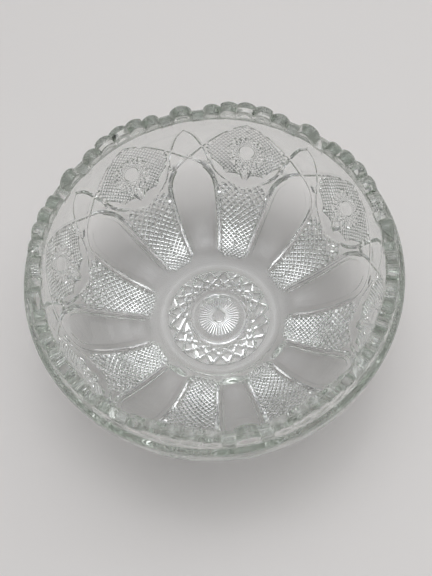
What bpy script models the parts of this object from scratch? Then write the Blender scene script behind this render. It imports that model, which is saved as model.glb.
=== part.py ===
"""A pressed-glass punch bowl with eight petal flutes and a scalloped crown.

Metres, +Z up. The bowl stands on z = 0 with its axis on +Z, and petals face +X and +Y.
The real bowl is one casting. Its four zones are modelled as four touching solids:
the wall, the crown on top of it, the foot ring below it and the star inside the foot ring.
"""

import math

import bmesh
import bpy

# The crown
RIM_RADIUS = 0.118
RIM_INNER_RADIUS = 0.109
CROWN_EDGE_ROUND = 0.0015
CROWN_TOP = 0.1035
CROWN_ARCH_DROP = 0.004
LARGE_SCALLOP_TOP = 0.1012
CROWN_FLAT = 0.0930
SCALLOP_DIP = 0.0024
NOTCH_DEPTH = 0.0007
SHOULDER_RISE = 0.0016
SHOULDER_RADIUS = 0.1213

# The wall
BELLY_RADIUS = 0.1226
BELLY_HEIGHT = 0.084
WALL_INNER_RADIUS = 0.1105
HEEL_RADIUS = 0.0448
HEEL_HEIGHT = 0.005
FLOOR_HEIGHT = 0.0095
FLOOR_RADIUS = 0.036

# The petal flutes, which run up the outside of the wall
REPEATS = 8
FLUTE_DEPTH = 0.0022
FLUTE_HALF_ANGLE = 11.0
FLUTE_LOW, FLUTE_HIGH = 0.02, 0.66  # shares of the wall, from heel to belly
FLUTE_RUN_IN = 0.15  # share of the flute over which it reaches its depth
FLUTE_END_POWER = 8  # how squarely the flute's top is rounded

# The foot
FOOT_OUTER_RADIUS = 0.0430
FOOT_INNER_RADIUS = 0.0365
FOOT_EDGE = 0.0008
STAR_HEIGHT = 0.0015
STAR_POINTS = 20
STAR_SKIP = 6
STAR_RELIEF = 0.0010
PUNT_RADIUS = 0.0145
PUNT_RISE = 0.0018
PUNT_SLOPE = 0.0035
RAY_RELIEF = 0.0005
RAY_INNER_RADIUS = 0.0045

GAP = 0.0003  # between touching solids

# How finely the curved faces are divided
SHARP_ANGLE = 28.0
WALL_ANGLES = (4.0, 8.0, 10.6, 14.5, 18.5)  # from a petal's centre line to half a repeat
INNER_WALL_STEPS = 9
OUTER_WALL_SHARES = (1.0, 0.9, 0.8, 0.7, 0.66, 0.62, 0.56, 0.46, 0.36, 0.26, 0.16, 0.08, 0.0)
LARGE_SCALLOP_SHARES = (0.0, 0.45, 0.8, 1.0)
SMALL_SCALLOP_STEPS = 4
FOOT_SIDES = 72

# Widths along the crown within one repeat, in degrees
LARGE_SCALLOP_ANGLE = 8.0
FLAT_ANGLE = 3.5
SMALL_SCALLOPS = 5
SMALL_SCALLOP_ANGLE = 6.0
REPEAT_ANGLE = 360.0 / REPEATS

GLASS = {"bowl_shell": (0.90, 0.94, 0.92), "scalloped_rim": (0.78, 0.86, 0.80),
         "foot_ring": (0.86, 0.92, 0.88), "star_medallion": (0.88, 0.93, 0.91)}
GLASS_ROUGHNESS = 0.04
GLASS_INDEX = 1.52


def remove_everything():
    for old in list(bpy.data.objects):
        bpy.data.objects.remove(old, do_unlink=True)


def glass_material(name, colour):
    material = bpy.data.materials.new(name + "_glass")
    material.use_nodes = True
    shader = material.node_tree.nodes["Principled BSDF"]
    shader.inputs["Base Color"].default_value = (*colour, 1.0)
    shader.inputs["Roughness"].default_value = GLASS_ROUGHNESS
    shader.inputs["Metallic"].default_value = 0.0
    shader.inputs["IOR"].default_value = GLASS_INDEX
    shader.inputs["Transmission Weight"].default_value = 1.0
    return material


def finish_object(name, bm):
    """Turns a closed bmesh into a smooth-shaded object of that name, with its own glass."""
    bmesh.ops.recalc_face_normals(bm, faces=bm.faces)
    mesh = bpy.data.meshes.new(name)
    bm.to_mesh(mesh)
    bm.free()
    mesh.shade_smooth()
    mesh.set_sharp_from_angle(angle=math.radians(SHARP_ANGLE))
    mesh.materials.append(glass_material(name, GLASS[name]))
    solid = bpy.data.objects.new(name, mesh)
    bpy.context.collection.objects.link(solid)
    return solid


def around(radius, height, angle):
    """The point at an angle in degrees, counted clockwise from +Y."""
    turn = math.radians(angle)
    return (radius * math.sin(turn), radius * math.cos(turn), height)


def bridge(bm, first, second):
    """Quads between two rings that have the same number of points."""
    count = len(first)
    for i in range(count):
        j = (i + 1) % count
        bm.faces.new((first[i], first[j], second[j], second[i]))


def ring_solid(name, rings):
    """A closed ring: each entry of rings is one loop of points round the axis."""
    bm = bmesh.new()
    loops = [[bm.verts.new(point) for point in ring] for ring in rings]
    for first, second in zip(loops, loops[1:] + loops[:1]):
        bridge(bm, first, second)
    return finish_object(name, bm)


def capped_solid(name, rings, first_pole, last_pole):
    """A closed body on the axis: a point at each end and rings between them."""
    bm = bmesh.new()
    loops = [[bm.verts.new(point) for point in ring] for ring in rings]
    for first, second in zip(loops, loops[1:]):
        bridge(bm, first, second)
    for loop, pole in ((loops[0], first_pole), (loops[-1], last_pole)):
        centre = bm.verts.new(pole)
        for i, corner in enumerate(loop):
            bm.faces.new((centre, corner, loop[(i + 1) % len(loop)]))
    return finish_object(name, bm)


def all_round(angles_of_one_repeat):
    """The angles of one repeat, counted from its petal, copied to every repeat."""
    return [k * REPEAT_ANGLE + a for k in range(REPEATS) for a in angles_of_one_repeat]


def from_petal(angle):
    """How far an angle is from the nearest petal's centre line, in degrees."""
    return abs((angle + REPEAT_ANGLE / 2) % REPEAT_ANGLE - REPEAT_ANGLE / 2)


# The wall


def quarter_ellipse(low, high, share):
    """Radius, height and outward normal on a wall that starts level and ends upright."""
    turn = share * math.pi / 2
    width, rise = high[0] - low[0], high[1] - low[1]
    radius = low[0] + width * math.sin(turn)
    height = low[1] + rise * (1 - math.cos(turn))
    across, up = rise * math.sin(turn), -width * math.cos(turn)
    length = math.hypot(across, up)
    return radius, height, (across / length, up / length)


def flute_depth(angle, share):
    """How deep the petal flute is cut into the outside of the wall."""
    if not FLUTE_LOW < share < FLUTE_HIGH:
        return 0.0
    along = (share - FLUTE_LOW) / (FLUTE_HIGH - FLUTE_LOW)
    half_angle = FLUTE_HALF_ANGLE * math.sqrt(1 - along**FLUTE_END_POWER)
    across = from_petal(angle) / half_angle
    if across >= 1:
        return 0.0
    run_in = min(1.0, along / FLUTE_RUN_IN)
    return FLUTE_DEPTH * run_in * (1 - across**2)


def outer_wall_point(angle, share):
    low, high = (HEEL_RADIUS, HEEL_HEIGHT), (BELLY_RADIUS, BELLY_HEIGHT)
    radius, height, normal = quarter_ellipse(low, high, share)
    depth = flute_depth(angle, share)
    return around(radius - depth * normal[0], height - depth * normal[1], angle)


def inner_wall_point(angle, share):
    low, high = (FLOOR_RADIUS, FLOOR_HEIGHT), (WALL_INNER_RADIUS, BELLY_HEIGHT)
    radius, height, _ = quarter_ellipse(low, high, share)
    return around(radius, height, angle)


def bowl_shell():
    mirrored = [REPEAT_ANGLE - a for a in reversed(WALL_ANGLES)]
    angles = all_round([0.0, *WALL_ANGLES, REPEAT_ANGLE / 2, *mirrored])
    inner_shares = [step / INNER_WALL_STEPS for step in range(INNER_WALL_STEPS + 1)]
    rings = [[inner_wall_point(a, share) for a in angles] for share in inner_shares]
    rings += [[outer_wall_point(a, share) for a in angles] for share in OUTER_WALL_SHARES]
    return capped_solid("bowl_shell", rings, (0, 0, FLOOR_HEIGHT), (0, 0, HEEL_HEIGHT))


# The crown


def arc_share(offset, half_width):
    """Height of a round scallop at an offset from its middle, from 1 there to 0 at its ends."""
    return math.sqrt(max(0.0, 1 - (offset / half_width) ** 2))


def crown_height(angle):
    """Height of the crown's edge: one large scallop over each petal and an arch of small ones."""
    offset = from_petal(angle)
    if offset < LARGE_SCALLOP_ANGLE / 2:
        lift = arc_share(offset, LARGE_SCALLOP_ANGLE / 2)
        return CROWN_FLAT + (LARGE_SCALLOP_TOP - CROWN_FLAT) * lift
    if offset < LARGE_SCALLOP_ANGLE / 2 + FLAT_ANGLE:
        return CROWN_FLAT
    from_middle = REPEAT_ANGLE / 2 - offset
    scallop = round(from_middle / SMALL_SCALLOP_ANGLE)
    arch = CROWN_ARCH_DROP * (scallop / (SMALL_SCALLOPS // 2)) ** 2
    top = CROWN_TOP - arch
    half_width = SMALL_SCALLOP_ANGLE / 2
    within = abs(from_middle - scallop * SMALL_SCALLOP_ANGLE)
    outermost = scallop == SMALL_SCALLOPS // 2 and from_middle > scallop * SMALL_SCALLOP_ANGLE
    dip = top - CROWN_FLAT if outermost else SCALLOP_DIP
    return top - dip * (1 - arc_share(within, half_width))


def notch(angle):
    """How far the crown's outside is drawn in between scallops."""
    offset = from_petal(angle)
    if offset < LARGE_SCALLOP_ANGLE / 2 + FLAT_ANGLE:
        share = min(1.0, offset / (LARGE_SCALLOP_ANGLE / 2))
        return NOTCH_DEPTH * share**2
    within = (offset - LARGE_SCALLOP_ANGLE / 2 - FLAT_ANGLE) % SMALL_SCALLOP_ANGLE
    share = abs(within / SMALL_SCALLOP_ANGLE - 0.5) * 2
    return NOTCH_DEPTH * share**2


def crown_angles():
    large_half = LARGE_SCALLOP_ANGLE / 2
    half = [large_half * share for share in LARGE_SCALLOP_SHARES]
    start = large_half + FLAT_ANGLE
    for step in range(SMALL_SCALLOPS * SMALL_SCALLOP_STEPS // 2 + 1):
        half.append(start + step * SMALL_SCALLOP_ANGLE / SMALL_SCALLOP_STEPS)
    return all_round(half + [REPEAT_ANGLE - a for a in reversed(half[1:-1])])


def scalloped_rim():
    angles = crown_angles()
    base = BELLY_HEIGHT + GAP

    def edge(angle, radius, drop):
        return around(radius - (notch(angle) if radius > RIM_INNER_RADIUS else 0.0),
                      crown_height(angle) - drop, angle)

    inner_round = RIM_INNER_RADIUS + CROWN_EDGE_ROUND
    outer_round = RIM_RADIUS - CROWN_EDGE_ROUND
    rings = [
        [around(WALL_INNER_RADIUS, base, a) for a in angles],
        [edge(a, RIM_INNER_RADIUS, CROWN_EDGE_ROUND) for a in angles],
        [edge(a, inner_round, 0.0) for a in angles],
        [edge(a, outer_round, 0.0) for a in angles],
        [edge(a, RIM_RADIUS, CROWN_EDGE_ROUND) for a in angles],
        [around(SHOULDER_RADIUS, base + SHOULDER_RISE, a) for a in angles],
        [around(BELLY_RADIUS, base, a) for a in angles],
    ]
    return ring_solid("scalloped_rim", rings)


# The foot


def foot_ring():
    angles = [side * 360 / FOOT_SIDES for side in range(FOOT_SIDES)]
    top = HEEL_HEIGHT - GAP
    outline = [
        (FOOT_INNER_RADIUS, top), (FOOT_OUTER_RADIUS, top),
        (FOOT_OUTER_RADIUS, FOOT_EDGE), (FOOT_OUTER_RADIUS - FOOT_EDGE, 0.0),
        (FOOT_INNER_RADIUS + FOOT_EDGE, 0.0), (FOOT_INNER_RADIUS, FOOT_EDGE),
    ]
    return ring_solid("foot_ring", [[around(r, z, a) for a in angles] for r, z in outline])


def star_medallion():
    """A disc whose underside is cut as a star of straight grooves round a raised, rayed punt."""
    outer = FOOT_INNER_RADIUS - GAP
    top = HEEL_HEIGHT - GAP
    half_step = 180.0 / STAR_POINTS
    angles = [i * half_step for i in range(2 * STAR_POINTS)]
    tangent = outer * math.cos(math.radians(STAR_SKIP * half_step))

    def crossing(order):
        """Radius where a groove crosses the groove that starts that many half steps away."""
        return tangent / math.cos(math.radians(order * half_step))

    def relief_ring(radius, height, relief, first):
        """A ring of points of which every second one, counted from first, stands out downwards."""
        return [around(radius, height - (relief if i % 2 == first else 0.0), angle)
                for i, angle in enumerate(angles)]

    punt = STAR_HEIGHT + PUNT_RISE
    rings = [
        [around(outer, top, a) for a in angles],
        [around(outer, STAR_HEIGHT, a) for a in angles],
        relief_ring(crossing(STAR_SKIP - 1), STAR_HEIGHT, STAR_RELIEF, 0),
        relief_ring(crossing(STAR_SKIP - 2), STAR_HEIGHT, STAR_RELIEF, 1),
        relief_ring(crossing(STAR_SKIP - 3), STAR_HEIGHT, STAR_RELIEF, 0),
        [around(tangent, STAR_HEIGHT, a) for a in angles],
        [around(PUNT_RADIUS + PUNT_SLOPE, STAR_HEIGHT, a) for a in angles],
        relief_ring(PUNT_RADIUS, punt, RAY_RELIEF, 0),
        [around(RAY_INNER_RADIUS, punt, a) for a in angles],
    ]
    return capped_solid("star_medallion", rings, (0, 0, top), (0, 0, punt))


def build():
    remove_everything()
    casting = bpy.data.objects.new("punch_bowl", None)
    bpy.context.collection.objects.link(casting)
    for make in (bowl_shell, scalloped_rim, foot_ring, star_medallion):
        make().parent = casting


build()
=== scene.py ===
"""The looks of the pressed-glass punch bowl: one continuous casting with its cut pattern.

The wall's outside is laid out flat as a chart. Across it runs the angle round the axis and up it
runs a height scaled so that the chart keeps angles, both in degrees. One degree of the chart is
as long as one degree of the circle at that height. Half of one repeat is drawn there, as lines
where the glass has creases. It is triangulated between those lines, pressed in by the depth of
the cuts, and copied round the axis.
"""

import math

import bmesh
import bpy
import numpy as np
from mathutils import Matrix, Vector
from mathutils.geometry import delaunay_2d_cdt


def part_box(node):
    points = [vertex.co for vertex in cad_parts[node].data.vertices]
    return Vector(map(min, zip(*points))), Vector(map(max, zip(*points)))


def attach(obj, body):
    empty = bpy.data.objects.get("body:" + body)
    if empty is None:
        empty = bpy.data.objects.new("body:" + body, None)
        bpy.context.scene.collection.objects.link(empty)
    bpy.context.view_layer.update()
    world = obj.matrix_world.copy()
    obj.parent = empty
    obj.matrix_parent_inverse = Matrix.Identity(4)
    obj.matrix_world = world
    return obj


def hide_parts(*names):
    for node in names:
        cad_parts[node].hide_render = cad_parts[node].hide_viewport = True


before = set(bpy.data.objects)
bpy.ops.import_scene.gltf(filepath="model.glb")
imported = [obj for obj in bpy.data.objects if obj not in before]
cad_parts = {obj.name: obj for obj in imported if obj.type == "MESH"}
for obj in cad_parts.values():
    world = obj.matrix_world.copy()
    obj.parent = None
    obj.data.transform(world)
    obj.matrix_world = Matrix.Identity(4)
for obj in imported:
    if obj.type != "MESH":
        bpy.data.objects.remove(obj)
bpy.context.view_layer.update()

MM = 0.001

# Sizes that the CAD model fixes
shell_low, shell_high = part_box("bowl_shell")
rim_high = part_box("scalloped_rim")[1]
star_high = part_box("star_medallion")[1]
BELLY_RADIUS, BELLY_HEIGHT = shell_high.x, shell_high.z
HEEL_HEIGHT = shell_low.z
STAR_RADIUS = star_high.x
CROWN_TOP = rim_high.z

# Sizes that the CAD model has too
HEEL_RADIUS = 44.8 * MM
FLOOR_RADIUS, FLOOR_HEIGHT = 36.0 * MM, 9.5 * MM
WALL_INNER_RADIUS = 110.5 * MM
RIM_RADIUS, RIM_INNER_RADIUS = 118.0 * MM, 109.0 * MM
CROWN_EDGE_ROUND = 1.5 * MM
LARGE_SCALLOP_TOP, CROWN_FLAT = 101.2 * MM, 93.0 * MM
CROWN_ARCH_DROP, SCALLOP_DIP, NOTCH_DEPTH = 4.0 * MM, 2.4 * MM, 0.7 * MM
STAR_HEIGHT = 1.5 * MM
REPEATS = 8
HALF_REPEAT = 180.0 / REPEATS
LARGE_HALF, FLAT_ANGLE, SMALL_ANGLE, SMALL_SCALLOPS = 4.0, 3.5, 6.0, 5
BASE_STAR_POINTS, BASE_STAR_SKIP = 20, 6

# Sizes of this model alone
FOOT_FLAT = 40.6 * MM  # outer radius of the foot's flat
STAR_EDGE = 0.2 * MM  # rounding between the foot's flat and the star
HEEL_DROP = 3.4 * MM  # how far the heel swells past the wall's own curve
HEEL_FLARE = 16.0  # degrees of the chart in which that swelling runs out
CREST_RISE = 0.1 * MM  # the crown's edge is a little higher in its middle
# The rounded top of the wall's outside, as millimetres in from the belly and up from it
CROWN_SHOULDER = ((0.0, 0.0), (0.15, 1.2), (0.7, 2.4), (1.7, 3.4), (3.0, 4.1), (3.9, 4.9))

# How finely the surfaces are divided
BASE_SEGMENTS, FOOT_STEPS, INSIDE_STEPS, SEAM_STEPS = 160, 12, 20, 59
LARGE_SHARES = (0, 0.2, 0.4, 0.58, 0.74, 0.88, 1.0)
FLAT_SHARES = (0.12, 0.35, 0.65, 0.88)
SMALL_SHARES = (-1, -0.93, -0.78, -0.55, -0.28, 0, 0.28, 0.55, 0.78, 0.93)
PETAL_SPACING, WALL_SPACING, BASE_SPACING = 1.0, 1.8, 1.9
ROW_SPACING, CREASE_CLEARANCE = 0.87, 0.35  # as shares of the spacing
FIRST_ROW, LAST_ROW, FIRST_POINT = 0.4, 0.3, 0.02
CHART_TOLERANCE, SEAM_TOLERANCE, MERGE_DISTANCE = 1e-3, 2e-3, 3e-7
SHARP_ANGLE = math.radians(24)


# The chart of the wall's outside

CHART_STEPS, LINE_STEP = 600, 1.2
_turns = np.linspace(0, math.pi / 2, CHART_STEPS + 1)
_radii = HEEL_RADIUS + (BELLY_RADIUS - HEEL_RADIUS) * np.sin(_turns)
_heights = HEEL_HEIGHT + (BELLY_HEIGHT - HEEL_HEIGHT) * (1 - np.cos(_turns))
_lengths = np.hypot(np.diff(_radii), np.diff(_heights))
_ups = np.concatenate([[0], np.cumsum(np.degrees(_lengths / (_radii[1:] + _radii[:-1]) * 2))])
_shares = _turns / (math.pi / 2)
CHART_TOP = float(_ups[-1])


def up_at(share):
    """The chart's height at a share of the wall, 0 at the heel and 1 at the belly."""
    return np.interp(share, _shares, _ups)


def share_at(up):
    return np.interp(up, _ups, _shares)


def degree_mm(up):
    """How many millimetres one degree of the chart stands for at that height."""
    return np.interp(up, _ups, _radii) * math.pi / 180 / MM


def on_wall(chart, depth_mm):
    """Radius and height of chart points that are pressed in by a depth."""
    turn = share_at(chart[:, 1]) * math.pi / 2
    wide, tall = BELLY_RADIUS - HEEL_RADIUS, BELLY_HEIGHT - HEEL_HEIGHT
    radius = HEEL_RADIUS + wide * np.sin(turn)
    height = HEEL_HEIGHT + tall * (1 - np.cos(turn))
    out, down = tall * np.sin(turn), -wide * np.cos(turn)
    size = np.hypot(out, down)
    return radius - depth_mm * MM * out / size, height - depth_mm * MM * down / size


def marks(points):
    """Chart points from (angle, share) pairs."""
    points = np.array(points, float)
    return np.column_stack([points[:, 0], up_at(points[:, 1])])


def smooth_line(points):
    """A Catmull-Rom curve through chart points, as points about LINE_STEP degrees apart."""
    ends = [2 * points[0] - points[1], *points, 2 * points[-1] - points[-2]]
    made = []
    for a, b, c, d in zip(ends, ends[1:], ends[2:], ends[3:]):
        for t in np.linspace(0, 1, max(2, int(np.linalg.norm(c - b) / LINE_STEP)), endpoint=False):
            made.append(0.5 * (2 * b + (c - a) * t + (2 * a - 5 * b + 4 * c - d) * t**2
                               + (3 * b - a - 3 * c + d) * t**3))
    return np.array([*made, points[-1]])


# Drawing on a flat chart


class Drawing:
    """Creases on a flat chart, the depth they cut, and the triangles between them."""

    def __init__(self, scale, low, high):
        self.scale, self.low, self.high = scale, low, high
        self.segments, self.cuts, self.facets, self.points = [], [], [], []

    def crease(self, line):
        self.segments += [(a, b) for a, b in zip(line, line[1:])]

    def groove(self, line, half_width, depth, taper=0.0):
        """A V-shaped cut along a line: half width, depth and end taper are in millimetres."""
        line = np.asarray(line, float)
        along = np.gradient(line, axis=0)
        across = np.column_stack([-along[:, 1], along[:, 0]])
        across /= np.linalg.norm(across, axis=1)[:, None]
        reach = half_width / self.scale(line[:, 1])[:, None]
        self.crease(line)
        self.crease(line + across * reach)
        self.crease(line - across * reach)
        self.cuts.append((line, half_width, depth, taper))

    def facet_cut(self, start, end, half_degrees, slope):
        """A straight V-shaped cut that scales with the chart: half width in degrees."""
        self.crease((start, end))
        self.facets.append((start, end, half_degrees, slope))

    def scatter(self, spacing, inside):
        """Plain points on a staggered grid where inside says so, clear of every crease."""
        rows, y = [], self.low[1] + spacing * FIRST_ROW
        while y < self.high[1] - spacing * LAST_ROW:
            first = spacing / 2 if len(rows) % 2 else spacing * FIRST_POINT
            xs = np.arange(self.low[0] + first, self.high[0], spacing)
            rows.append(np.column_stack([xs, np.full(len(xs), y)]))
            y += spacing * ROW_SPACING
        spots = np.concatenate(rows)
        spots = spots[inside(spots)]
        clear = self.distance(spots, self.segments) > CREASE_CLEARANCE * spacing
        self.points += list(spots[clear])

    @staticmethod
    def distance(spots, segments):
        best = np.full(len(spots), np.inf)
        for a, b in segments:
            best = np.minimum(best, to_segment(spots, a, b)[0])
        return best

    def depth(self, spots):
        """How deep the cuts are at chart points, in millimetres."""
        scale = self.scale(spots[:, 1])
        deep = np.zeros(len(spots))
        for line, half_width, cut, taper in self.cuts:
            best, along, run = np.full(len(spots), np.inf), np.zeros(len(spots)), 0.0
            for a, b in zip(line, line[1:]):
                away, share = to_segment(spots, a, b)
                nearer = away < best
                best[nearer] = away[nearer]
                along[nearer] = run + share[nearer] * np.linalg.norm(b - a)
                run += np.linalg.norm(b - a)
            fade = 1.0
            if taper:
                fade = np.clip(np.minimum(along, run - along) * scale / taper, 0, 1)
            deep = np.maximum(deep, cut * fade * np.clip(1 - best * scale / half_width, 0, 1))
        for start, end, half_degrees, slope in self.facets:
            away = to_segment(spots, start, end)[0]
            deep = np.maximum(deep, slope * scale * np.clip(half_degrees - away, 0, None))
        return deep

    def triangles(self, outline):
        """Corner points and triangles of the whole chart inside a convex outline."""
        corners, edges = [], []
        loop = [tuple(p) for p in outline]
        corners += loop
        edges += [(i, (i + 1) % len(loop)) for i in range(len(loop))]
        for a, b in self.segments:
            piece = clipped(a, b, outline)
            if piece is not None:
                corners += [tuple(piece[0]), tuple(piece[1])]
                edges.append((len(corners) - 2, len(corners) - 1))
        corners += [tuple(p) for p in self.points]
        made = delaunay_2d_cdt([Vector(c) for c in corners], edges, [], 0, CHART_TOLERANCE, False)
        return np.array([tuple(v) for v in made[0]]), [tuple(f) for f in made[2]]


def to_segment(spots, a, b):
    """Distance of points to a segment, and the share of the way along it."""
    line = b - a
    size = float(line @ line)
    share = np.clip((spots - a) @ line / size, 0, 1) if size > 0 else np.zeros(len(spots))
    return np.linalg.norm(spots - a - share[:, None] * line, axis=1), share


def clipped(a, b, outline):
    """The part of a segment inside a convex, anticlockwise outline, or None."""
    start, end = 0.0, 1.0
    a, b = np.asarray(a, float), np.asarray(b, float)
    for p, q in zip(outline, [*outline[1:], outline[0]]):
        edge = np.asarray(q) - p
        inward = np.array([-edge[1], edge[0]])
        at_a, at_b = float((a - p) @ inward), float((b - p) @ inward)
        if at_a < 0 and at_b < 0:
            return None
        if at_a < 0:
            start = max(start, at_a / (at_a - at_b))
        elif at_b < 0:
            end = min(end, at_a / (at_a - at_b))
    if start >= end - 1e-9:
        return None
    return a + (b - a) * start, a + (b - a) * end


def inside_polygon(spots, polygon):
    """True for points inside a polygon, by counting the edges they see to the right."""
    odd = np.zeros(len(spots), bool)
    for (x0, y0), (x1, y1) in zip(polygon, [*polygon[1:], polygon[0]]):
        spans = (y0 > spots[:, 1]) != (y1 > spots[:, 1])
        if y0 != y1:
            odd ^= spans & (spots[:, 0] < (x1 - x0) * (spots[:, 1] - y0) / (y1 - y0) + x0)
    return odd


# The wall's pattern, drawn from a petal's centre line (0) to the middle of an arch (22.5)

ARCH_LINE = marks([(-6, 0.636), (0, 0.688), (6, 0.762), (13, 0.857), (17.5, 0.915), (22.5, 0.966)])
SHOULDER = marks([(-3.5, 0.722), (0, 0.688), (4, 0.645), (7, 0.597), (9.3, 0.54), (10.4, 0.48),
                  (11.0, 0.40), (11.6, 0.30), (12.0, 0.20), (12.3, 0.13), (12.2, 0.06),
                  (11.6, 0.035)])
SHIELD_LINE = marks([(-1.5, 0.962), (0, 0.925), (3, 0.868), (5, 0.80), (6.5, 0.735), (8, 0.67),
                     (9.4, 0.605), (11.2, 0.56), (14, 0.522), (17.5, 0.49), (22.5, 0.458),
                     (25, 0.442)])
SHIELD_TAIL = marks([(25, 0.474), (22.5, 0.458), (17.5, 0.424), (13.2, 0.402)])
NOTCH_LINE = marks([(22.5, 0.522), (21.2, 0.555), (19.6, 0.60)])
STAR_PANEL = marks([(23.2, 0.956), (17.3, 0.904), (12.8, 0.842), (8.0, 0.772), (7.4, 0.73),
                    (9.0, 0.665), (11.6, 0.605), (15.6, 0.568), (20.3, 0.562), (23.2, 0.52)])
SMALL_PANEL = marks([(2.2, 0.70), (6.0, 0.745), (7.3, 0.675), (8.4, 0.62), (7.4, 0.615),
                     (4.4, 0.66)])
LATTICE_PANEL = marks([(14.0, 0.03), (22.5, 0.03), (22.5, 0.453), (17.5, 0.482), (12.7, 0.50),
                       (12.3, 0.45)])
LIP_LINE = marks([(0, 0.600), (2, 0.600), (4, 0.600), (5.6, 0.600)])
LIP_TOP, LIP_FOOT = 0.665, 0.600  # shares of the wall

# Grooves: half width, depth and length of the tapered ends, in millimetres
ARCH_CUT, SHOULDER_CUT, INNER_CUT = (1.8, 1.6, 0), (1.3, 1.7, 3), (0.8, 0.7, 8)
SHIELD_CUT, TAIL_CUT, NOTCH_CUT = (1.3, 1.2, 0), (1.2, 1.0, 5), (1.7, 1.9, 2)
STAR_CUT, BASE_STAR_CUT = (0.75, 0.85, 0), (1.6, 1.5, 0)
RAY_CUT, HUB_CUT = (0.5, 0.45, 0), (0.5, 0.4, 0)

STAR_CENTRE = marks([(22.5, 0.715)])[0]
STAR_REACH, STAR_POINTS, STAR_SKIP = 6.9, 20, 7
STAR_MARGIN = 0.2  # the hatching comes this far inside the star's tips, in degrees
BUTTON_REACH = STAR_REACH * math.cos(math.pi * STAR_SKIP / STAR_POINTS) - 0.45
BUTTON_DEPTH = 0.7
HATCH_PITCH, HATCH_SLOPE = 1.7, 1.15
LATTICE_PITCH, NAIL_SLOPE = 3.3, 0.85
NAIL_SPLIT, NAIL_FLAT = 0.42, 0.03  # half width of the cut through a hobnail, and its flat edge
SHORTEST_CUT = 0.5

# The petals and thumbprints, in millimetres from their outlines
INNER_START = 1.0  # angle from which the petal's second outline runs
BEVEL_START, BEVEL_WIDTH, BEVEL_DEPTH = 1.0, 1.2, 1.3
INNER_OUTLINE, INNER_CUT_SHARE = 5.0, 0.6
HOLLOW_START, HOLLOW_WIDTH, HOLLOW_DEPTH = 1.4, 11.0, 1.7
RUN_IN_START, RUN_IN_LENGTH = 0.01, 0.08  # shares of the wall
THUMB_START, THUMB_WIDTH, THUMB_DEPTH, THUMB_HALF = 1.2, 3.0, 1.1, 7
EDGE_FADE = 1.0  # degrees in which the cuts run out at the wall's top and bottom

# The star under the base, in millimetres
HUB_RADIUS, PUNT_RADIUS, PUNT_SLOPE = 4.5, 14.5, 3.5
PUNT_RISE, DOME_RISE = 1.8, 0.8
RAY_START, RAY_END, TIP_MARGIN, RIM_MARGIN = 0.6, 0.4, 0.4, 0.3
CIRCLE_STEP = 4.5  # degrees


def draw_arches(drawing):
    drawing.groove(smooth_line(ARCH_LINE), *ARCH_CUT)
    drawing.groove(smooth_line(SHOULDER), *SHOULDER_CUT)
    drawing.groove(smooth_line(SHIELD_LINE), *SHIELD_CUT)
    drawing.groove(smooth_line(SHIELD_TAIL), *TAIL_CUT)
    drawing.groove(NOTCH_LINE, *NOTCH_CUT)


def star_tip(number, points, reach):
    """One of the points of a star round the origin, numbered round it from the top."""
    turn = 2 * math.pi * number / points
    return reach * np.array([math.sin(turn), math.cos(turn)])


def draw_star(drawing):
    """The hobstar: straight grooves from point to point round a smooth button."""
    for i in range(STAR_POINTS):
        a = STAR_CENTRE + star_tip(i, STAR_POINTS, STAR_REACH)
        b = STAR_CENTRE + star_tip(i + STAR_SKIP, STAR_POINTS, STAR_REACH)
        if min(a[0], b[0]) < HALF_REPEAT:
            drawing.groove(np.linspace(a, b, 5), *STAR_CUT)


def keep_peaks(drawing, peaks, inside):
    """The tips of small pyramids, left off where they would crowd the seam."""
    drawing.points += list(peaks[inside & (peaks[:, 0] < HALF_REPEAT - 0.1)])


def draw_hatch(drawing, polygon, keep=lambda spots: True):
    """Crossed cuts that fill a polygon with small pyramids, from crossing to crossing."""
    low, high = polygon.min(0), polygon.max(0)
    origin = np.array([HALF_REPEAT, low[1]])
    count = int((high - low).max() * 2 / HATCH_PITCH) + 2
    steps = np.arange(-count, count + 1)
    half = HATCH_PITCH / math.sqrt(8)
    for lean in (1, -1):
        for i in steps:
            spots = origin + np.column_stack([i + steps, lean * (i - steps)]) * HATCH_PITCH / 2
            inside = inside_polygon(spots, polygon) & keep(spots)
            for a, b, in_a, in_b in zip(spots, spots[1:], inside, inside[1:]):
                if in_a and in_b:
                    drawing.facet_cut(a, b, half, HATCH_SLOPE)
    peaks = np.array([(k, m) for k in steps for m in steps if (k + m) % 2])
    peaks = peaks * HATCH_PITCH / 2 + origin
    keep_peaks(drawing, peaks, inside_polygon(peaks, polygon) & keep(peaks))


def draw_hatches(drawing):
    def off_star(spots):
        return np.linalg.norm(spots - STAR_CENTRE, axis=1) > STAR_REACH - STAR_MARGIN

    draw_hatch(drawing, STAR_PANEL, off_star)
    draw_hatch(drawing, SMALL_PANEL)


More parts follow.
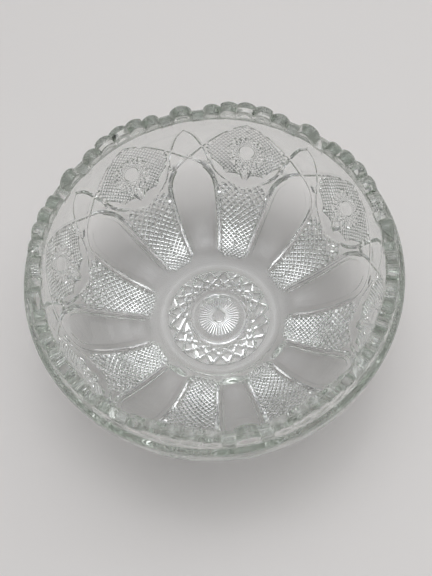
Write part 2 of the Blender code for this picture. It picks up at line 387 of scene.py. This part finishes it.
def draw_lattice(drawing):
    """Diagonal cuts that leave rows of hobnails between the petals, each cut in four."""
    outline = list(LATTICE_PANEL)
    half = LATTICE_PITCH / math.sqrt(8) - NAIL_FLAT
    rows = int(CHART_TOP / LATTICE_PITCH) + 12
    for shift, half_degrees in ((0.5, half), (1.0, NAIL_SPLIT)):
        for lean in (1, -1):
            for i in range(-rows, rows):
                x = HALF_REPEAT + (i + shift) * LATTICE_PITCH
                a, b = np.array([x, 0.0]), np.array([x + lean * CHART_TOP, CHART_TOP])
                piece = clipped(a, b, outline)
                if piece is not None and np.linalg.norm(piece[1] - piece[0]) > SHORTEST_CUT:
                    drawing.facet_cut(*piece, half_degrees, NAIL_SLOPE)
    peak = NAIL_SPLIT / 2 * math.sqrt(2)
    steps = range(-12, 60)
    nails = np.array([(k, m) for k in steps for m in steps if (k + m) % 2 == 0])
    nails = nails * LATTICE_PITCH / 2 * [-1, 1] + [HALF_REPEAT, 0]
    for offset in ((peak, 0), (-peak, 0), (0, peak), (0, -peak)):
        keep_peaks(drawing, nails + offset, inside_polygon(nails + offset, LATTICE_PANEL))


def flute_edge():
    """The petal's outline from the shoulder groove, as a closed polygon on the chart."""
    line = smooth_line(SHOULDER)
    line = line[(line[:, 0] >= 0)]
    return np.array([*line, [line[-1][0], 0.0], [-line[-1][0], 0.0], *(line[::-1] * [-1, 1])])


def moved_in(line, millimetres):
    """A chart line moved to its right, towards the petal's middle."""
    along = np.gradient(line, axis=0)
    across = np.column_stack([-along[:, 1], along[:, 0]])
    across /= np.linalg.norm(across, axis=1)[:, None]
    return line + across * (-millimetres / degree_mm(line[:, 1]))[:, None]


def flute_depth(spots):
    """The petal's smooth hollow: bevelled along its outline, deepest in the middle."""
    edge = flute_edge()
    line = edge[: (len(edge) - 2) // 2]
    both = [*zip(line, line[1:]), *((a * [-1, 1], b * [-1, 1]) for a, b in zip(line, line[1:]))]
    away = Drawing.distance(spots, both) * degree_mm(spots[:, 1])
    bevel = np.clip((away - BEVEL_START) / BEVEL_WIDTH, 0, 1)
    hollow = 1 - (1 - np.clip((away - HOLLOW_START) / HOLLOW_WIDTH, 0, 1)) ** 2
    run_in = np.clip((share_at(spots[:, 1]) - RUN_IN_START) / RUN_IN_LENGTH, 0, 1)
    run_in = run_in**2 * (3 - 2 * run_in)
    lip = np.clip((LIP_TOP - share_at(spots[:, 1])) / (LIP_TOP - LIP_FOOT), 0, 1)
    deep = (BEVEL_DEPTH * np.minimum(bevel, lip) + HOLLOW_DEPTH * hollow) * run_in
    return np.where(inside_polygon(spots, edge), deep, 0.0)


def thumbprint_depth(spots):
    """The small hollow between the shield lines, above each petal."""
    line, arch = smooth_line(SHIELD_LINE), smooth_line(ARCH_LINE)
    line = line[(line[:, 0] >= 0) & (line[:, 0] < THUMB_HALF)]
    arch = arch[(arch[:, 0] >= 0) & (arch[:, 0] < THUMB_HALF)]
    edge = np.array([*line, *arch[::-1], *(arch * [-1, 1]), *(line[::-1] * [-1, 1])])
    sides = [*zip(line, line[1:]), *zip(arch, arch[1:])]
    both = [*sides, *((a * [-1, 1], b * [-1, 1]) for a, b in sides)]
    away = Drawing.distance(spots, both) * degree_mm(spots[:, 1])
    slope = np.clip((away - THUMB_START) / THUMB_WIDTH, 0, 1)
    return np.where(inside_polygon(spots, edge), THUMB_DEPTH * (1 - (1 - slope) ** 2), 0.0)


def button_depth(spots):
    """A shallow dimple in the middle of each hobstar."""
    away = np.linalg.norm(spots - STAR_CENTRE, axis=1) / BUTTON_REACH
    return BUTTON_DEPTH * np.clip(1 - away**2, 0, 1)


def crown_angles():
    """The angles round the crown at which its shape is sampled, for half of one repeat."""
    large = [LARGE_HALF * share for share in LARGE_SHARES]
    flat = [LARGE_HALF + FLAT_ANGLE * share for share in FLAT_SHARES]
    start, small = LARGE_HALF + FLAT_ANGLE, []
    for scallop in range(SMALL_SCALLOPS // 2 + 1):
        middle = start + (scallop + 0.5) * SMALL_ANGLE
        small += [middle + share * SMALL_ANGLE / 2 for share in SMALL_SHARES]
    return large + flat + [a for a in small if a <= HALF_REPEAT + 1e-6]


def seam_outline():
    """The chart's outline, with a point wherever the parts beside it have one."""
    bottom = [(x, 0.0) for x in np.linspace(0, HALF_REPEAT, BASE_SEGMENTS // REPEATS // 2 + 1)]
    top = [(x, CHART_TOP) for x in reversed(crown_angles())]
    rows = np.linspace(0, CHART_TOP, SEAM_STEPS + 1)[1:-1]
    right = [(HALF_REPEAT, y) for y in rows]
    left = [(0.0, y) for y in reversed(rows)]
    return [np.array(p) for p in bottom + right + top + left]


def wall_outside():
    """Chart points and triangles of half a repeat, and their depths."""
    drawing = Drawing(degree_mm, np.array([0.0, 0.0]), np.array([HALF_REPEAT, CHART_TOP]))
    draw_arches(drawing)
    draw_star(drawing)
    draw_hatches(drawing)
    draw_lattice(drawing)
    edge, line = flute_edge(), smooth_line(SHOULDER)
    line = line[line[:, 0] > INNER_START]
    drawing.crease(moved_in(line, BEVEL_START + BEVEL_WIDTH))
    drawing.groove(moved_in(line, INNER_OUTLINE), *INNER_CUT)
    drawing.crease(LIP_LINE)
    drawing.scatter(PETAL_SPACING, lambda spots: inside_polygon(spots, edge))
    drawing.scatter(WALL_SPACING, lambda spots: ~inside_polygon(spots, edge))
    corners, faces = drawing.triangles(seam_outline())
    corners[np.abs(corners[:, 0]) < SEAM_TOLERANCE, 0] = 0.0
    corners[np.abs(corners[:, 0] - HALF_REPEAT) < SEAM_TOLERANCE, 0] = HALF_REPEAT
    faces = [f for f in faces if np.ptp(corners[list(f), 0]) > 0]
    cut = drawing.depth(corners)
    in_hollow = np.maximum(cut, flute_depth(corners) + INNER_CUT_SHARE * cut)
    deep = np.where(inside_polygon(corners, edge), in_hollow, cut)
    for hollow in (thumbprint_depth, button_depth):
        deep = np.maximum(deep, hollow(corners))
    up = corners[:, 1]
    deep = deep * (np.clip((CHART_TOP - up) / EDGE_FADE, 0, 1) * np.clip(up / EDGE_FADE, 0, 1))
    flare = np.clip(1 - up / HEEL_FLARE, 0, 1) ** 2
    return corners, faces, deep - HEEL_DROP / MM * flare


# Building the mesh


class Casting:
    """Points and faces of the whole bowl, gathered piece by piece and joined where they meet."""

    def __init__(self):
        self.points, self.faces, self.count = [], [], 0

    def add(self, points, faces):
        self.points.append(np.asarray(points, float))
        self.faces += [tuple(i + self.count for i in face) for face in faces]
        self.count += len(points)

    def grid(self, rings):
        """Quads between rings of points that all have the same count, each ring closed."""
        n = len(rings[0])
        faces = []
        for r in range(len(rings) - 1):
            for i in range(n):
                j = (i + 1) % n
                faces.append((r * n + i, r * n + j, (r + 1) * n + j, (r + 1) * n + i))
        self.add(np.concatenate(rings), faces)

    def fan(self, ring, pole):
        n = len(ring)
        self.add([*ring, pole], [(i, (i + 1) % n, n) for i in range(n)])

    def mesh(self, name):
        mesh = bpy.data.meshes.new(name)
        mesh.from_pydata(np.concatenate(self.points).tolist(), [], self.faces)
        bm = bmesh.new()
        bm.from_mesh(mesh)
        bmesh.ops.remove_doubles(bm, verts=bm.verts, dist=MERGE_DISTANCE)
        bmesh.ops.recalc_face_normals(bm, faces=bm.faces)
        bm.to_mesh(mesh)
        bm.free()
        return mesh


def around(radius, height, angles):
    turns = np.radians(angles)
    radius = np.broadcast_to(radius, turns.shape)
    return np.column_stack([radius * np.sin(turns), radius * np.cos(turns),
                            np.broadcast_to(height, turns.shape)])


def from_petal(angles):
    return np.abs((angles + HALF_REPEAT) % (2 * HALF_REPEAT) - HALF_REPEAT)


def arc_rise(share, width, rise):
    """Height of a round arc over its ends: share is -1 to 1 across it."""
    radius = (width**2 + rise**2) / (2 * rise)
    return np.sqrt(np.maximum(radius**2 - (share * width) ** 2, 0)) - (radius - rise)


def crown_height(angles):
    """Height of the crown's edge: one large scallop over each petal, then an arch of small ones."""
    offset = from_petal(angles)
    heights = np.full(len(angles), CROWN_FLAT)
    degree = RIM_RADIUS * math.pi / 180
    large = offset < LARGE_HALF
    rise = LARGE_SCALLOP_TOP - CROWN_FLAT
    heights[large] += arc_rise(offset[large] / LARGE_HALF, LARGE_HALF * degree, rise)
    small = offset > LARGE_HALF + FLAT_ANGLE
    middle = HALF_REPEAT - offset
    number = np.minimum(np.round(middle / SMALL_ANGLE), SMALL_SCALLOPS // 2)
    share = (middle - number * SMALL_ANGLE) / (SMALL_ANGLE / 2)
    top = CROWN_TOP - CROWN_ARCH_DROP * (number / (SMALL_SCALLOPS // 2)) ** 2
    last = (number == SMALL_SCALLOPS // 2) & (share > 0)
    dip = np.where(last, top - CROWN_FLAT, SCALLOP_DIP)
    shape = np.array([arc_rise(s, SMALL_ANGLE / 2 * degree, d) for s, d in zip(share, dip)])
    heights[small] = (top - dip + shape)[small]
    return heights


def notch(angles):
    """How far the crown's outside is drawn in between scallops."""
    offset = from_petal(angles)
    inner = LARGE_HALF + FLAT_ANGLE
    share = np.minimum(1.0, offset / LARGE_HALF)
    within = ((offset - inner) % SMALL_ANGLE) / SMALL_ANGLE
    share = np.where(offset >= inner, np.abs(within - 0.5) * 2, share)
    return NOTCH_DEPTH * share**2


def add_crown(casting, angles):
    """The scalloped crown, from the top of the wall's outside over the edge to its inside."""
    top, drawn_in = crown_height(angles), notch(angles)
    rings = [around(BELLY_RADIUS - inward * MM, BELLY_HEIGHT + up * MM, angles)
             for inward, up in CROWN_SHOULDER]
    foot = BELLY_HEIGHT + CROWN_SHOULDER[-1][1] * MM
    start = BELLY_RADIUS - CROWN_SHOULDER[-1][0] * MM
    edge = top - CROWN_EDGE_ROUND
    for share in (0.35, 0.7, 1.0):
        radius = start + (RIM_RADIUS - drawn_in - start) * share
        rings.append(around(radius, foot + (edge - foot) * share, angles))
    for lean in np.radians((30, 60, 90)):
        radius = RIM_RADIUS - drawn_in - CROWN_EDGE_ROUND * (1 - math.cos(lean))
        rings.append(around(radius, top - CROWN_EDGE_ROUND * (1 - math.sin(lean)), angles))
    rings.append(around((RIM_RADIUS + RIM_INNER_RADIUS) / 2, top + CREST_RISE, angles))
    for lean in np.radians((90, 60, 30, 0)):
        radius = RIM_INNER_RADIUS + CROWN_EDGE_ROUND * (1 - math.cos(lean))
        rings.append(around(radius, top - CROWN_EDGE_ROUND * (1 - math.sin(lean)), angles))
    for share in (0.25, 0.5, 0.75, 1.0):
        radius = RIM_INNER_RADIUS + (WALL_INNER_RADIUS - RIM_INNER_RADIUS) * share
        rings.append(around(radius, edge + (BELLY_HEIGHT - edge) * share, angles))
    casting.grid(rings)


def add_inside(casting, angles):
    """The smooth inside, down to the level floor."""
    rings = []
    for turn in np.radians(np.linspace(90, 0, INSIDE_STEPS + 1)):
        radius = FLOOR_RADIUS + (WALL_INNER_RADIUS - FLOOR_RADIUS) * math.sin(turn)
        height = FLOOR_HEIGHT + (BELLY_HEIGHT - FLOOR_HEIGHT) * (1 - math.cos(turn))
        rings.append(around(radius, height, angles))
    for share in (0.8, 0.6, 0.4, 0.2):
        rings.append(around(FLOOR_RADIUS * share, FLOOR_HEIGHT, angles))
    casting.grid(rings)
    casting.fan(rings[-1], (0, 0, FLOOR_HEIGHT))


def add_foot(casting):
    """The foot ring, from the heel of the wall to the edge of the base star."""
    angles = np.arange(BASE_SEGMENTS) * 360 / BASE_SEGMENTS
    outline = []
    for share in np.linspace(0, 1, FOOT_STEPS + 1):
        radius = HEEL_RADIUS + (FOOT_FLAT - HEEL_RADIUS) * share
        outline.append((radius, (HEEL_HEIGHT - HEEL_DROP) * (1 - share) ** 2))
    for turn in np.radians((90, 45, 0)):
        outline.append((STAR_RADIUS + STAR_EDGE * (1 - math.cos(turn)),
                        STAR_EDGE * (1 - math.sin(turn))))
    outline.append((STAR_RADIUS, STAR_HEIGHT))
    casting.grid([around(radius, height, angles) for radius, height in outline])
    return angles


def add_base_star(casting, angles):
    """The star under the base: straight grooves from point to point round a rayed punt."""
    reach = STAR_RADIUS / MM
    corner = np.array([reach, reach])
    drawing = Drawing(lambda y: np.ones(np.shape(y)), -corner, corner)
    turns = np.radians(np.arange(0, 361, CIRCLE_STEP))
    circle = np.column_stack([np.sin(turns), np.cos(turns)])
    drawing.groove(HUB_RADIUS * circle, *HUB_CUT)
    for radius in (PUNT_RADIUS, PUNT_RADIUS + PUNT_SLOPE):
        drawing.crease(radius * circle)
    for i in range(BASE_STAR_POINTS):
        a = star_tip(i, BASE_STAR_POINTS, reach - TIP_MARGIN)
        b = star_tip(i + BASE_STAR_SKIP, BASE_STAR_POINTS, reach - TIP_MARGIN)
        drawing.groove(np.linspace(a, b, 3), *BASE_STAR_CUT)
    for i in range(2 * BASE_STAR_POINTS):
        way = star_tip(i, 2 * BASE_STAR_POINTS, 1.0)
        ray = np.linspace(way * (HUB_RADIUS + RAY_START), way * (PUNT_RADIUS - RAY_END), 3)
        drawing.groove(ray, *RAY_CUT)
    drawing.scatter(BASE_SPACING, lambda spots: np.linalg.norm(spots, axis=1) < reach - 1)
    outline = [reach * np.array([math.sin(t), math.cos(t)]) for t in np.radians(angles[::-1])]
    within = [spot * (1 - RIM_MARGIN / reach) for spot in outline]
    pieces = [clipped(a, b, within) for a, b in drawing.segments]
    drawing.segments = [piece for piece in pieces if piece is not None]
    corners, faces = drawing.triangles(outline)
    away = np.linalg.norm(corners, axis=1)
    rise = PUNT_RISE * np.clip((PUNT_RADIUS + PUNT_SLOPE - away) / PUNT_SLOPE, 0, 1)
    dome = DOME_RISE * np.clip(1 - (away / PUNT_RADIUS) ** 2, 0, 1)
    deep = drawing.depth(corners) * np.clip((reach - away) / RIM_MARGIN, 0, 1)
    heights = STAR_HEIGHT / MM + deep + rise + dome
    casting.add(np.column_stack([corners, heights]) * MM, faces)


def glass_casting():
    casting = Casting()
    chart, faces, deep = wall_outside()
    radius, height = on_wall(chart, deep)
    for repeat in range(REPEATS):
        for side in (1, -1):
            angles = repeat * 2 * HALF_REPEAT + side * chart[:, 0]
            casting.add(around(radius, height, angles), faces)
    half = crown_angles()
    one = half + [2 * HALF_REPEAT - a for a in reversed(half[1:-1])]
    angles = np.array([k * 2 * HALF_REPEAT + a for k in range(REPEATS) for a in one])
    add_crown(casting, angles)
    add_inside(casting, angles)
    add_base_star(casting, add_foot(casting))
    mesh = casting.mesh("bowl_glass")
    mesh.shade_smooth()
    mesh.set_sharp_from_angle(angle=SHARP_ANGLE)
    bowl = bpy.data.objects.new("bowl_glass", mesh)
    bpy.context.collection.objects.link(bowl)
    return bowl


# Materials

GLASS_IOR, GLASS_TINT, TINT_DENSITY = 1.51, (0.61, 0.66, 0.59, 1.0), 10.0
WAVE_SCALE, WAVE_DETAIL, WAVE_STRENGTH, WAVE_DEPTH = 45.0, 2.0, 0.25, 0.6 * MM
TABLE_DARK, TABLE_PALE, TABLE_ROUGHNESS = (0.78, 0.75, 0.725, 1.0), (0.82, 0.79, 0.765, 1.0), 0.45
MOTTLE_SCALE, MOTTLE_DETAIL = 9.0, 5.0


def new_material(name):
    material = bpy.data.materials.new(name)
    material.use_nodes = True
    return material, material.node_tree.nodes, material.node_tree.links


def new_noise(nodes, scale, detail):
    noise = nodes.new("ShaderNodeTexNoise")
    noise.inputs["Scale"].default_value = scale
    noise.inputs["Detail"].default_value = detail
    return noise


def glass_material():
    """Clear glass with a slightly wavy surface, tinted only through its thickness."""
    material, nodes, links = new_material("pressed_glass")
    shader = nodes["Principled BSDF"]
    shader.inputs["Base Color"].default_value = (1.0, 1.0, 1.0, 1.0)
    shader.inputs["Roughness"].default_value = 0.0
    shader.inputs["IOR"].default_value = GLASS_IOR
    shader.inputs["Transmission Weight"].default_value = 1.0
    waves = new_noise(nodes, WAVE_SCALE, WAVE_DETAIL)
    place = nodes.new("ShaderNodeTexCoord")
    links.new(place.outputs["Object"], waves.inputs["Vector"])
    bump = nodes.new("ShaderNodeBump")
    bump.inputs["Strength"].default_value = WAVE_STRENGTH
    bump.inputs["Distance"].default_value = WAVE_DEPTH
    links.new(waves.outputs["Fac"], bump.inputs["Height"])
    links.new(bump.outputs["Normal"], shader.inputs["Normal"])
    tint = nodes.new("ShaderNodeVolumeAbsorption")
    tint.inputs["Color"].default_value = GLASS_TINT
    tint.inputs["Density"].default_value = TINT_DENSITY
    links.new(tint.outputs["Volume"], nodes["Material Output"].inputs["Volume"])
    return material


def table_material():
    material, nodes, links = new_material("pale_table")
    shader = nodes["Principled BSDF"]
    shader.inputs["Roughness"].default_value = TABLE_ROUGHNESS
    mottle = new_noise(nodes, MOTTLE_SCALE, MOTTLE_DETAIL)
    ramp = nodes.new("ShaderNodeValToRGB")
    ramp.color_ramp.elements[0].color = TABLE_DARK
    ramp.color_ramp.elements[1].color = TABLE_PALE
    links.new(mottle.outputs["Fac"], ramp.inputs["Fac"])
    links.new(ramp.outputs["Color"], shader.inputs["Base Color"])
    return material


# The set

FLOOR_SIZE, FLOOR_DROP = 6.0, 0.3 * MM
CEILING_LIGHT = (0.09, 0.26, 0.96)  # direction of the bright patch of ceiling
# Brightness of the room against the cosine of the angle from that patch
ROOM_LIGHT = ((0.0, 0.17), (0.40, 0.20), (0.74, 0.42), (0.88, 1.12), (1.0, 2.6))
ROOM_COOLNESS = (1.0, 1.01, 1.03)
ROOM_NOISE_SCALE, ROOM_NOISE_FROM, ROOM_NOISE_TO = 5.0, (0.38, 0.62), (0.7, 1.3)
WINDOW_PLACE, WINDOW_SIZE, WINDOW_POWER = (1.5, 0.5, 1.2), (1.0, 0.8), 2.5
CAMERA_PITCH, CAMERA_ROLL, CAMERA_HEADING = 66.025, 7.356, 4.0  # degrees
CAMERA_DISTANCE = 6.1087 * RIM_RADIUS
CAMERA_LENS, CAMERA_SENSOR = 62.5, 36.0
# How far the middle of the base lies right of and above the axis of view, as tangents
AIM_RIGHT, AIM_ABOVE = 0.003198, -0.031405


def add_floor():
    bpy.ops.mesh.primitive_plane_add(size=FLOOR_SIZE, location=(0, 0, -FLOOR_DROP))
    floor = bpy.context.object
    floor.name = "floor"
    floor.data.materials.append(table_material())


def add_window():
    """A weak, broad lamp to one side, which puts small glints on the cuts."""
    lamp = bpy.data.lights.new("window", "AREA")
    lamp.shape = "RECTANGLE"
    lamp.size, lamp.size_y = WINDOW_SIZE
    lamp.energy = WINDOW_POWER
    holder = bpy.data.objects.new("window", lamp)
    holder.location = WINDOW_PLACE
    holder.rotation_euler = (-Vector(WINDOW_PLACE)).to_track_quat("-Z", "Y").to_euler()
    bpy.context.collection.objects.link(holder)


def add_world():
    """Soft light from a wide bright patch of ceiling, in a dimmer and slightly uneven room."""
    world = bpy.data.worlds.new("studio")
    bpy.context.scene.world = world
    world.use_nodes = True
    nodes, links = world.node_tree.nodes, world.node_tree.links
    place = nodes.new("ShaderNodeTexCoord")
    facing = nodes.new("ShaderNodeVectorMath")
    facing.operation = "DOT_PRODUCT"
    facing.inputs[1].default_value = CEILING_LIGHT
    links.new(place.outputs["Generated"], facing.inputs[0])
    patch = nodes.new("ShaderNodeValToRGB")
    ramp = patch.color_ramp
    while len(ramp.elements) < len(ROOM_LIGHT):
        ramp.elements.new(0.5)
    for element, (position, value) in zip(ramp.elements, ROOM_LIGHT):
        element.position = position
        element.color = (*(value * share for share in ROOM_COOLNESS), 1.0)
    links.new(facing.outputs["Value"], patch.inputs["Fac"])
    room = nodes.new("ShaderNodeTexNoise")
    room.inputs["Scale"].default_value = ROOM_NOISE_SCALE
    links.new(place.outputs["Generated"], room.inputs["Vector"])
    uneven = nodes.new("ShaderNodeMapRange")
    for end, low_high in (("From", ROOM_NOISE_FROM), ("To", ROOM_NOISE_TO)):
        uneven.inputs[end + " Min"].default_value = low_high[0]
        uneven.inputs[end + " Max"].default_value = low_high[1]
    links.new(room.outputs["Fac"], uneven.inputs["Value"])
    links.new(patch.outputs["Color"], nodes["Background"].inputs["Color"])
    links.new(uneven.outputs["Result"], nodes["Background"].inputs["Strength"])


def add_camera():
    """A steep view down over the near side, turned and rolled a little."""
    pitch, roll = math.radians(CAMERA_PITCH), math.radians(CAMERA_ROLL)
    right = Vector((1, 0, 0))
    up = Vector((0, math.sin(pitch), math.cos(pitch)))
    forward = Vector((0, math.cos(pitch), -math.sin(pitch)))
    c, s = math.cos(roll), math.sin(roll)
    across, above = c * AIM_RIGHT + s * AIM_ABOVE, -s * AIM_RIGHT + c * AIM_ABOVE
    turned = Matrix((c * right - s * up, s * right + c * up, -forward)).transposed().to_4x4()
    turned.translation = -(right * across + up * above + forward) * CAMERA_DISTANCE
    camera = bpy.data.cameras.new("camera")
    camera.sensor_width = CAMERA_SENSOR
    camera.lens = CAMERA_LENS
    holder = bpy.data.objects.new("camera", camera)
    bpy.context.collection.objects.link(holder)
    holder.matrix_world = Matrix.Rotation(-math.radians(CAMERA_HEADING), 4, "Z") @ turned
    bpy.context.scene.camera = holder


bowl = glass_casting()
bowl.data.materials.append(glass_material())
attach(bowl, "root")
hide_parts("bowl_shell", "scalloped_rim", "foot_ring", "star_medallion")
add_floor()
add_world()
add_window()
add_camera()
bpy.context.scene.view_settings.view_transform = "Standard"
# Light is reflected many times inside the thick rim, which is black with fewer bounces
bpy.context.scene.cycles.max_bounces = 32
bpy.context.scene.cycles.glossy_bounces = 16
bpy.context.scene.cycles.transmission_bounces = 24
